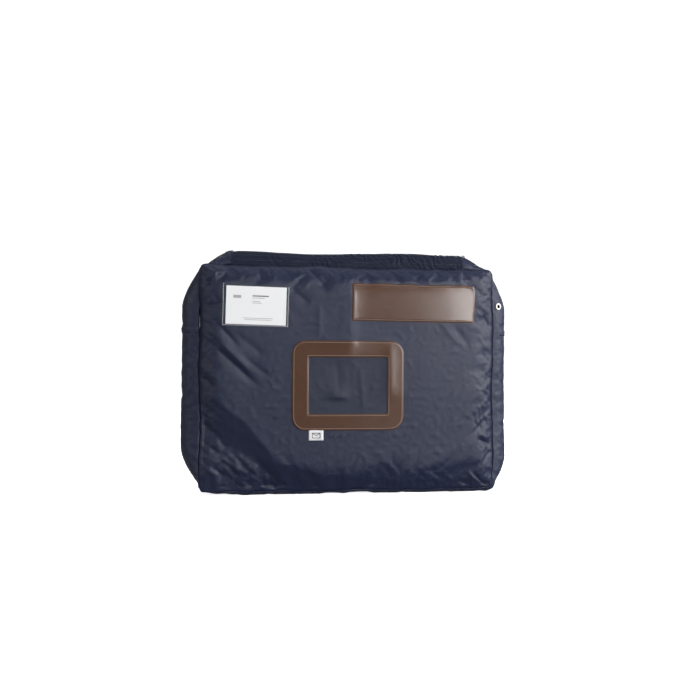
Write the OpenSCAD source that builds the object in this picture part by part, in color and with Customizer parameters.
// Gusseted mail sack: two fabric panels joined by a gusset that bulges like a pillow,
// a zip along the top behind a fabric strip, an address window, a writing patch,
// a business card pocket and a seal eyelet. Millimetres, +Z up, front towards -Y,
// origin on the floor under the middle of the sack.

/* [Sack] */
// Width between the two side seams
panel_w = 431; // [400:1:460]
// Height between the bottom seam and the top seam
panel_h = 324; // [300:1:350]
// Height of the bottom seam above the floor
seam_rise = 6; // [5:1:10]
// Half the distance between front and rear seams, upper part
seam_depth = 23; // [21:0.5:26]
// Half the distance between front and rear seams at the bottom
foot_depth = 30; // [27:0.5:33]
// Half the thickness of the filled sack at the panels
fill_depth = 43; // [40:0.5:50]
// How far the side gussets bulge past the seams
side_bulge = 26; // [18:0.5:30]
// Length over which a side gusset grows to its full bulge
side_ramp = 52; // [40:1:60]
// Length over which the top grows to its full height
top_ramp = 38; // [30:1:40]
// Thickness of the coated cloth, with its folded edges
cloth = 1.2; // [1:0.1:1.6]

/* [Zip] */
// Half the length of the part of the zip that opens
lip_half = 146; // [120:1:147]
// How far the zip leans behind the top ridge, in degrees
zip_lean = 34; // [30:1:44]
// Length of the slider
slider_len = 15; // [12:0.5:16]
// Length of the pull tab from its pin
pull_len = 28; // [22:0.5:30]

/* [Front pieces] */
// Width of the window frame
frame_w = 160.5; // [140:0.5:170]
// Height of the window frame
frame_h = 127.5; // [110:0.5:130]
// Width of the bars of the window frame
frame_bar = 24.2; // [18:0.2:26]
// Width of the writing patch
patch_w = 183; // [150:1:184]
// Height of the writing patch
patch_h = 55; // [40:1:56]
// Width of a business card
card_w = 85; // [80:1:90]
// Height of a business card
card_h = 54; // [50:1:56]

/* [Hidden] */

navy = "#2c3146";
navy_dark = "#20263a";
leatherette = "#6a4b3e";

half_w = panel_w / 2;
z_low = seam_rise;
z_top = seam_rise + panel_h;
corner_r = 9;            // corner radius of the seam line
top_r = seam_depth;      // radius of the rounded top, from seam to ridge
edge_lean = 88;          // the gusset cloth stops this many degrees from the ridge
join_z = 237;            // height where the end panels meet the gusset band
end_x = 168;             // the end panels start here, past the ends of the zip
lip_gap = 1;             // gap between a lip and what is fixed beside it
front_y = -fill_depth;   // plane of the front panel's flat middle

// Smooth step from 0 to 1.
function ease(v) = let (c = min(1, max(0, v))) c * c * (3 - 2 * c);

// Half the distance between the seams at a height.
function depth_at(z) = seam_depth + (foot_depth - seam_depth) * ease((120 - z) / (120 - z_low));

// Share of the full bulge at a distance from the nearest corner, growing over a length.
function ramp(d, over) = let (q = min(1, max(0, d / over))) 1 - pow(1 - q, 1.6);

// The largest bulge for an outward direction: the sides, the top or the foot.
function bulge_for(nz) = nz > 0.7 ? top_r : nz < -0.7 ? seam_rise : side_bulge;

// A station on the seam line: x, z, outward direction x, z and the bulge there.
function station(x, z, nx, nz, d) =
    [x, z, nx, nz, 2 + (bulge_for(nz) - 2) * ramp(d, nz > 0.7 ? top_ramp : side_ramp)];
function side_at(z) = station(half_w, z, 1, 0, min(z - z_low, z_top - z) - corner_r);
function top_at(x) = station(x, z_top, 0, 1, half_w - x - corner_r);
function foot_at(x) = station(x, z_low, 0, -1, half_w - x - corner_r);
function arc_at(cz, a) = [half_w - corner_r + corner_r * cos(a), cz + corner_r * sin(a), cos(a), sin(a), 2];

// A point of the gusset: lean is 0 on its middle line, -90 on the front seam, 90 on the rear seam.
function gusset_point(s, lean, inset) =
    let (flat = 1 + 0.35 * max(0, -s[3]),
         out = (s[4] - inset) * min(1, flat * cos(lean)),
         h = depth_at(s[1]) - inset)
    [s[0] + s[2] * out, h * sin(lean), s[1] + s[3] * out];

function flatten(rows) = [for (row = rows) for (p = row) p];

// Closed sheet between an outer and an inner grid of points.
module sheet(outer, inner) {
    n = len(outer) - 1;
    m = len(outer[0]) - 1;
    size = (n + 1) * (m + 1);
    function a(i, j) = i * (m + 1) + j;
    function b(i, j) = size + a(i, j);
    function quad(p, q, r, s) = [[p, q, r], [p, r, s]];
    faces = flatten([
        for (i = [0 : n - 1]) for (j = [0 : m - 1]) quad(a(i, j), a(i + 1, j), a(i + 1, j + 1), a(i, j + 1)),
        for (i = [0 : n - 1]) for (j = [0 : m - 1]) quad(b(i, j), b(i, j + 1), b(i + 1, j + 1), b(i + 1, j)),
        for (j = [0 : m - 1]) quad(a(0, j), a(0, j + 1), b(0, j + 1), b(0, j)),
        for (j = [0 : m - 1]) quad(a(n, j + 1), a(n, j), b(n, j), b(n, j + 1)),
        for (i = [0 : n - 1]) quad(a(i + 1, 0), a(i, 0), b(i, 0), b(i + 1, 0)),
        for (i = [0 : n - 1]) quad(a(i, m), a(i + 1, m), b(i + 1, m), b(i, m))]);
    polyhedron(concat(flatten(outer), flatten(inner)), faces);
}

// A stretch of gusset cloth over a list of stations.
module gusset(stations, from_lean, to_lean, steps, out_inset, in_inset) {
    leans = [for (j = [0 : steps]) from_lean + (to_lean - from_lean) * j / steps];
    sheet([for (s = stations) [for (lean = leans) gusset_point(s, lean, out_inset)]],
        [for (s = stations) [for (lean = leans) gusset_point(s, lean, in_inset)]]);
}

// Points of a rounded rectangle on the seam line, drawn in by different amounts.
function ring(inset_side, inset_top, inset_foot) =
    let (w = half_w - inset_side, t = z_top - inset_top, f = z_low + inset_foot, r = corner_r)
    [for (k = [1 : 7]) [w, f + r + (t - f - 2 * r) * k / 8],
     for (a = [0 : 30 : 90]) [w - r + r * cos(a), t - r + r * sin(a)],
     for (k = [1 : 5]) [w - r - 2 * (w - r) * k / 6, t],
     for (a = [90 : 30 : 180]) [-w + r + r * cos(a), t - r + r * sin(a)],
     for (k = [1 : 7]) [-w, t - r - (t - f - 2 * r) * k / 8],
     for (a = [180 : 30 : 270]) [-w + r + r * cos(a), f + r + r * sin(a)],
     for (k = [1 : 5]) [-w + r + 2 * (w - r) * k / 6, f],
     for (a = [270 : 30 : 360]) [w - r + r * cos(a), f + r + r * sin(a)]];

// Front panel: a shallow tray of cloth whose rounded walls rise from the seam to a flat middle.
wall_side = 29;
wall_top = 24;
wall_foot = 46;
wall_profile = [[0, 0], [0.2, 0.5], [0.55, 0.86], [1, 1]];
seam_gap = 0.2;

function tray_ring(step, t) =
    [for (p = ring(step[0] * wall_side + t, step[0] * wall_top + t, step[0] * wall_foot + t))
        let (rim = depth_at(p[1]) + seam_gap)
        [p[0], -(rim + step[1] * (fill_depth - (step[1] > 0 ? t : 0) - rim)), p[1]]];

module tray() {
    outer = [for (step = wall_profile) tray_ring(step, 0)];
    inner = [for (step = wall_profile) tray_ring(step, cloth)];
    n = len(outer[0]);
    last = len(wall_profile) - 1;
    half = n * (last + 1);
    function a(k, i) = k * n + i % n;
    function b(k, i) = half + a(k, i);
    function quad(p, q, r, s) = [[p, q, r], [p, r, s]];
    walls = flatten([
        for (k = [0 : last - 1]) for (i = [0 : n - 1]) quad(a(k, i), a(k + 1, i), a(k + 1, i + 1), a(k, i + 1)),
        for (k = [0 : last - 1]) for (i = [0 : n - 1]) quad(b(k, i), b(k, i + 1), b(k + 1, i + 1), b(k + 1, i)),
        for (i = [0 : n - 1]) quad(a(0, i), a(0, i + 1), b(0, i + 1), b(0, i))]);
    // The flat middle closes with triangles round one point on each side of the cloth.
    middle = [[0, -fill_depth, panel_h / 2], [0, cloth - fill_depth, panel_h / 2]];
    caps = flatten([for (i = [0 : n - 1])
        [[a(last, i), 2 * half, a(last, i + 1)], [b(last, i + 1), 2 * half + 1, b(last, i)]]]);
    polyhedron(concat(flatten(outer), flatten(inner), middle), concat(walls, caps));
}

module front_panel() { color(navy) tray(); }
module rear_panel() { color(navy) mirror([0, 1, 0]) tray(); }

// Gusset band: from one end panel down the side, along the foot and up the other side.
function mirrored(stations) = [for (k = [len(stations) - 1 : -1 : 0])
    let (s = stations[k]) [-s[0], s[1], -s[2], s[3], s[4]]];
foot_right = concat(
    [for (x = [0, 60, 120, 154, 168, 180, 192, half_w - corner_r]) foot_at(x)],
    [for (a = [-60, -30]) arc_at(z_low + corner_r, a)],
    [for (z = [z_low + corner_r, 24, 34, 46, 66, 90, 120, 160, 200, join_z]) side_at(z)]);
foot_left = mirrored([for (k = [1 : len(foot_right) - 1]) foot_right[k]]);

module gusset_band() {
    color(navy) gusset(concat(foot_left, foot_right), -edge_lean, edge_lean, 8, 0, cloth);
}

// End panels: cloth over the top corners, from the ends of the zip down to the gusset band.
eyelet_z = 275.8;
eyelet_lean = -66;
eyelet_r = 2.5;         // bore of the eyelet
eyelet_barrel_r = 3;
eyelet_flange_r = 5.4;
eyelet_s = side_at(eyelet_z);
eyelet_dir = [cos(eyelet_lean) / side_bulge, sin(eyelet_lean) / seam_depth];
eyelet_turn = atan2(eyelet_dir[1], eyelet_dir[0]);
corner_stations = concat(
    [for (z = [join_z + 0.4, 252, 268, 282, 296, 306, 314, z_top - corner_r]) side_at(z)],
    [for (a = [30, 60]) arc_at(z_top - corner_r, a)],
    [for (x = [half_w - corner_r, 200, 192, 181, end_x]) top_at(x)]);

// Puts its children on the side gusset at the eyelet, with +Z outwards.
module at_eyelet() {
    translate(gusset_point(eyelet_s, eyelet_lean, 0)) rotate([0, 0, eyelet_turn]) rotate([0, 90, 0]) children();
}

module end_cloth() { gusset(corner_stations, -edge_lean, edge_lean, 8, 0, cloth); }
module left_end_panel() { color(navy) mirror([1, 0, 0]) end_cloth(); }
module right_end_panel() {
    color(navy) difference() {
        end_cloth();
        at_eyelet() cylinder(h = 12, r = eyelet_barrel_r + 0.05, center = true, $fn = 48);
    }
}

// Lips: the strip and the tapes over the part of the zip that opens.
lip_line = [for (x = [lip_half, 0, -lip_half]) [x, z_top, 0, 1, top_r]];
lip_lean = 85;           // the lips stop this many degrees from the ridge
strip_edge = -24;        // the front strip ends at this lean
tape_in = 0.5;           // the tapes lie this deep under the strip
tape_t = 0.6;
coil_clear = 0.8;        // from the zip's middle line to a coil
coil_w = 2.2;
coil_h = 1.9;
coil_base = top_r - tape_in + 0.02;   // the coils stand on the tapes
tape_edge = 3;           // each tape stops this many degrees from the zip's middle line

module front_strip() { color(navy_dark) gusset(lip_line, -lip_lean, strip_edge, 5, -0.5, 0.25); }
module front_tape() {
    color(navy_dark) gusset(lip_line, strip_edge - 14, zip_lean - tape_edge, 8, tape_in, tape_in + tape_t);
}
module rear_tape() {
    color(navy_dark) gusset(lip_line, zip_lean + tape_edge, lip_lean, 4, tape_in, tape_in + tape_t);
}

// Puts its children on the zip's middle line, with +Z away from the sack and +Y to the rear.
module on_zip(x) { translate([x, 0, z_top]) rotate([-zip_lean, 0, 0]) children(); }
module coil(side, x0, x1) {
    on_zip(x0) translate([0, side > 0 ? coil_clear : -coil_clear - coil_w, coil_base])
        cube([x1 - x0, coil_w, coil_h]);
}
module front_coil() { color("#171b26") coil(-1, -lip_half, lip_half); }
module rear_coil() { color("#171b26") coil(1, -lip_half, lip_half); }

// A row of thread along the top of the sack, on the rounded cloth at a lean from the ridge.
module top_thread(lean, r) {
    translate([-lip_half, 0, z_top]) rotate([-lean, 0, 0]) translate([0, -0.25, r]) cube([2 * lip_half, 0.5, 0.4]);
}
module front_strip_stitching() {
    color("#3a4058") {
        top_thread(-76, top_r + 0.45);
        top_thread(strip_edge - 10, top_r + 0.45);
    }
}
module rear_tape_stitching() {
    color("#3a4058") {
        top_thread(73, top_r - tape_in + 0.02);
        top_thread(79, top_r - tape_in + 0.02);
    }
}

// The fixed ends of the zip: strip, tapes and coils between a lip and an end panel.
module zip_end() {
    near = lip_half + lip_gap;
    fixed = [for (x = [end_x - lip_gap, near]) [x, z_top, 0, 1, top_r]];
    gusset(fixed, -edge_lean, strip_edge, 5, -0.5, 0.25);
    gusset(fixed, strip_edge + 1, zip_lean - tape_edge, 6, tape_in, tape_in + tape_t);
    gusset(fixed, zip_lean + tape_edge, edge_lean, 4, tape_in, tape_in + tape_t);
    for (side = [-1, 1]) coil(side, near, stop_x);
}
module right_zip_end() { color(navy_dark) zip_end(); }
module left_zip_end() { color(navy_dark) mirror([1, 0, 0]) zip_end(); }

// Metal stops: one staple at the open end, and one on each coil at the closed end.
slider_x = lip_half + lip_gap + slider_len / 2 + 1.5;
stop_x = slider_x + slider_len / 2 + 1;
stop_l = 2.5;
module open_end_stop() {
    color("silver") mirror([1, 0, 0]) on_zip(stop_x + 0.2)
        translate([0, -coil_clear - coil_w, coil_base + 0.05]) cube([stop_l, 2 * (coil_clear + coil_w), coil_h + 0.3]);
}
module closed_end_stops() {
    color("silver") for (side = [-1, 1]) on_zip(stop_x + 0.2)
        translate([0, side > 0 ? coil_clear : -coil_clear - coil_w, coil_base + 0.05]) cube([stop_l, coil_w, coil_h + 0.3]);
}

// End tabs: short folded cloth tabs sewn over the ends of the tapes.
tab_line = [for (x = [end_x + 12, end_x + 6.5, end_x + 1]) top_at(x)];
module end_tab() { gusset(tab_line, zip_lean - 34, zip_lean + 34, 5, -1.1, -0.15); }
module right_end_tab() { color(navy) end_tab(); }
module left_end_tab() { color(navy) mirror([1, 0, 0]) end_tab(); }

// Slider: two plates joined by a post between the coils, flanges beside them and a bridge on top.
plate_low = coil_base + coil_h + 0.35;   // underside of the upper plate
plate_t = 1;
plate_top = plate_low + plate_t;
slider_w = 10;
pin_up = 1.75;           // pin centre above the upper plate
pin_r = 0.85;
pin_bore_r = 0.95;
bridge_w = 2.4;
module shield(w0, w1, t) {
    linear_extrude(t) offset(r = 1.2) offset(delta = -1.2)
        polygon([[-slider_len / 2, -w0 / 2], [slider_len / 2, -w1 / 2], [slider_len / 2, w1 / 2], [-slider_len / 2, w0 / 2]]);
}
module zip_slider() {
    color("silver") on_zip(slider_x) {
        translate([0, 0, plate_low]) shield(slider_w - 1.4, slider_w, plate_t);
        translate([0, 0, coil_base - 2.6]) shield(6, 7, 1);
        translate([-2, -0.45, coil_base - 1.7]) cube([6, 0.9, plate_low - coil_base + 1.8]);
        for (side = [-1, 1]) translate([-5.5, side * 4.1 - 0.5, coil_base + 0.5])
            cube([11, 1, plate_low - coil_base - 0.4]);
        difference() {
            translate([-3, -bridge_w / 2, plate_top - 0.1]) cube([6, bridge_w, pin_up + 1.5]);
            translate([0, 0, plate_top + pin_up]) rotate([90, 0, 0])
                cylinder(h = 6, r = pin_bore_r, center = true, $fn = 32);
        }
    }
}

// Pull tab: two ears on a pin through the bridge, and a long tab with a hole for the seal.
pull_t = 1.2;
pull_w = 7.6;
pull_hole_r = 2.2;
module pull_tab() {
    color("silver") on_zip(slider_x) translate([0, 0, plate_top + pin_up]) {
        rotate([90, 0, 0]) cylinder(h = bridge_w + 2.4, r = pin_r, center = true, $fn = 32);
        for (side = [-1, 1]) translate([0, side * (bridge_w / 2 + 0.75) - 0.45, 0]) {
            translate([0, 0.9, 0]) rotate([90, 0, 0]) cylinder(h = 0.9, r = 1.5, $fn = 32);
            translate([0, 0, -pull_t / 2]) cube([5.5, 0.9, pull_t]);
        }
        translate([0, 0, -pull_t / 2]) linear_extrude(pull_t) difference() {
            union() {
                translate([4.4, -pull_w / 2 + 0.6]) square([pull_len - 4.4 - pull_w / 2, pull_w - 1.2]);
                translate([pull_len - pull_w / 2, 0]) circle(r = pull_w / 2, $fn = 48);
            }
            translate([pull_len - pull_w / 2, 0]) circle(r = pull_hole_r, $fn = 48);
        }
    }
}

// Seam bindings: tape folded over the raw edges, inside along each seam.
module binding() {
    line = concat(ring(1.6, 1.6, 1.6), [ring(1.6, 1.6, 1.6)[0]]);
    inside = concat(ring(8.6, 8.6, 8.6), [ring(8.6, 8.6, 8.6)[0]]);
    n = len(line) - 1;
    function y(p, k) = -(depth_at(p[1]) - k);
    sections = [for (i = [0 : n - 1]) let (p = line[i], q = inside[i])
        [[p[0], y(p, 0.4), p[1]], [q[0], y(p, 0.4), q[1]], [q[0], y(p, 1.8), q[1]], [p[0], y(p, 1.8), p[1]]]];
    function at(i, j) = (i % n) * 4 + j % 4;
    faces = flatten([for (i = [0 : n - 1]) for (j = [0 : 3])
        [[at(i, j), at(i, j + 1), at(i + 1, j + 1)], [at(i, j), at(i + 1, j + 1), at(i + 1, j)]]]);
    polyhedron(flatten(sections), faces);
}
module front_seam_binding() { color(navy_dark) binding(); }
module rear_seam_binding() { color(navy_dark) mirror([0, 1, 0]) binding(); }

// Cross stitching: a row of thread on each side where an end panel meets the gusset band.
module cross_stitching() {
    rows = [for (z = [join_z + 3, join_z + 3.5]) side_at(z)];
    color("#3a4058") for (m = [0, 1]) mirror([m, 0, 0]) gusset(rows, -edge_lean, edge_lean, 8, -0.45, -0.05);
}

// Puts flat artwork on the front panel's middle: 2D x, y become x, z and the sheet grows forwards.
module on_front(lift, t) { translate([0, front_y - lift, 0]) rotate([90, 0, 0]) linear_extrude(t) children(); }
module centred(w, h, x, z) { translate([x - w / 2, z - h / 2]) square([w, h]); }
module rounded(w, h, x, z, r) { translate([x, z]) offset(r = r, $fn = 48) square([w - 2 * r, h - 2 * r], center = true); }

// Window: a leatherette frame over clear film, sewn round its outside and round the opening.
frame_x = -4;
frame_z = 157.8;
frame_r = 19;
frame_t = 1.2;
film_t = 0.3;
thread_t = 0.4;
open_w = frame_w - 2 * frame_bar;
open_h = frame_h - 2 * frame_bar + 1;
module window_frame() {
    color(leatherette) on_front(film_t, frame_t) difference() {
        rounded(frame_w, frame_h, frame_x, frame_z, frame_r);
        centred(open_w, open_h, frame_x, frame_z);
    }
}
module window_film() { color("#9aa4b4", 0.35) on_front(0, film_t) centred(open_w + 16, open_h + 16, frame_x, frame_z); }
module frame_stitching() {
    color("#8d7668") on_front(film_t + frame_t, thread_t) {
        difference() {
            rounded(frame_w - 5, frame_h - 5, frame_x, frame_z, frame_r - 2.5);
            rounded(frame_w - 6, frame_h - 6, frame_x, frame_z, frame_r - 3);
        }
        difference() {
            centred(open_w + 6, open_h + 6, frame_x, frame_z);
            centred(open_w + 5, open_h + 5, frame_x, frame_z);
        }
    }
}

// Writing patch: a plain leatherette rectangle.
patch_x = 92.3;
patch_z = 277;
patch_t = 1.2;
module writing_patch() { color(leatherette) on_front(0, patch_t) centred(patch_w, patch_h, patch_x, patch_z); }
module patch_stitching() {
    color("#b9a79a") on_front(patch_t, thread_t) difference() {
        centred(patch_w - 3.6, patch_h - 3.6, patch_x, patch_z);
        centred(patch_w - 4.6, patch_h - 4.6, patch_x, patch_z);
    }
}

// Card pocket: clear film on a border that is open at the top, with the card behind the film.
card_x = -136.2;
card_z = 270.6;
pocket_w = card_w + 10;
pocket_h = card_h + 7;
card_t = 0.4;
card_room = 0.6;         // depth of the space for the card
pocket_film_t = 0.4;
module card_pocket() {
    color("#c9d2dc", 0.3) {
        on_front(0, card_room) difference() {
            centred(pocket_w, pocket_h, card_x, card_z);
            centred(card_w + 1.4, card_h + 8, card_x, card_z + 3.7);
        }
        on_front(card_room, pocket_film_t) centred(pocket_w, pocket_h, card_x, card_z);
    }
}
module pocket_stitching() {
    color("#e8e8e8") on_front(card_room + pocket_film_t, thread_t) difference() {
        centred(pocket_w - 2, pocket_h - 2, card_x, card_z);
        centred(pocket_w - 3, pocket_h - 1, card_x, card_z + 1);
    }
}
module business_card() { color("white") on_front(0.1, card_t) centred(card_w, card_h, card_x, card_z); }

// Maker's label: a small folded tab of woven tape sewn in under the frame.
label_w = 20.8;
label_drop = 14;
label_x = -49.6;
module maker_label() {
    foot = frame_z - frame_h / 2;
    color("white") on_front(0, film_t) translate([label_x - label_w / 2, foot - label_drop]) square([label_w, label_drop + 3]);
}

// Eyelet: a rolled metal flange and barrel through the end panel, with a washer inside.
barrel_in = 3.4;
module eyelet() {
    color("silver") at_eyelet() rotate_extrude($fn = 64) polygon([
        [eyelet_r, -barrel_in], [eyelet_barrel_r, -barrel_in], [eyelet_barrel_r, 0.15], [eyelet_flange_r, 0.15],
        [eyelet_flange_r, 0.5], [eyelet_flange_r - 0.9, 1.1], [eyelet_r + 0.5, 1.1], [eyelet_r, 0.6]]);
}
module eyelet_washer() {
    color("silver") at_eyelet() translate([0, 0, -barrel_in + 0.2]) difference() {
        cylinder(h = 0.6, r = 4.6, $fn = 64);
        translate([0, 0, -1]) cylinder(h = 3, r = eyelet_barrel_r + 0.05, $fn = 64);
    }
}

front_panel();
rear_panel();
gusset_band();
left_end_panel();
right_end_panel();
front_strip();
front_tape();
front_coil();
front_strip_stitching();
rear_tape();
rear_coil();
rear_tape_stitching();
left_zip_end();
right_zip_end();
left_end_tab();
right_end_tab();
open_end_stop();
closed_end_stops();
zip_slider();
pull_tab();
front_seam_binding();
rear_seam_binding();
cross_stitching();
window_frame();
window_film();
frame_stitching();
writing_patch();
patch_stitching();
card_pocket();
pocket_stitching();
business_card();
maker_label();
eyelet();
eyelet_washer();
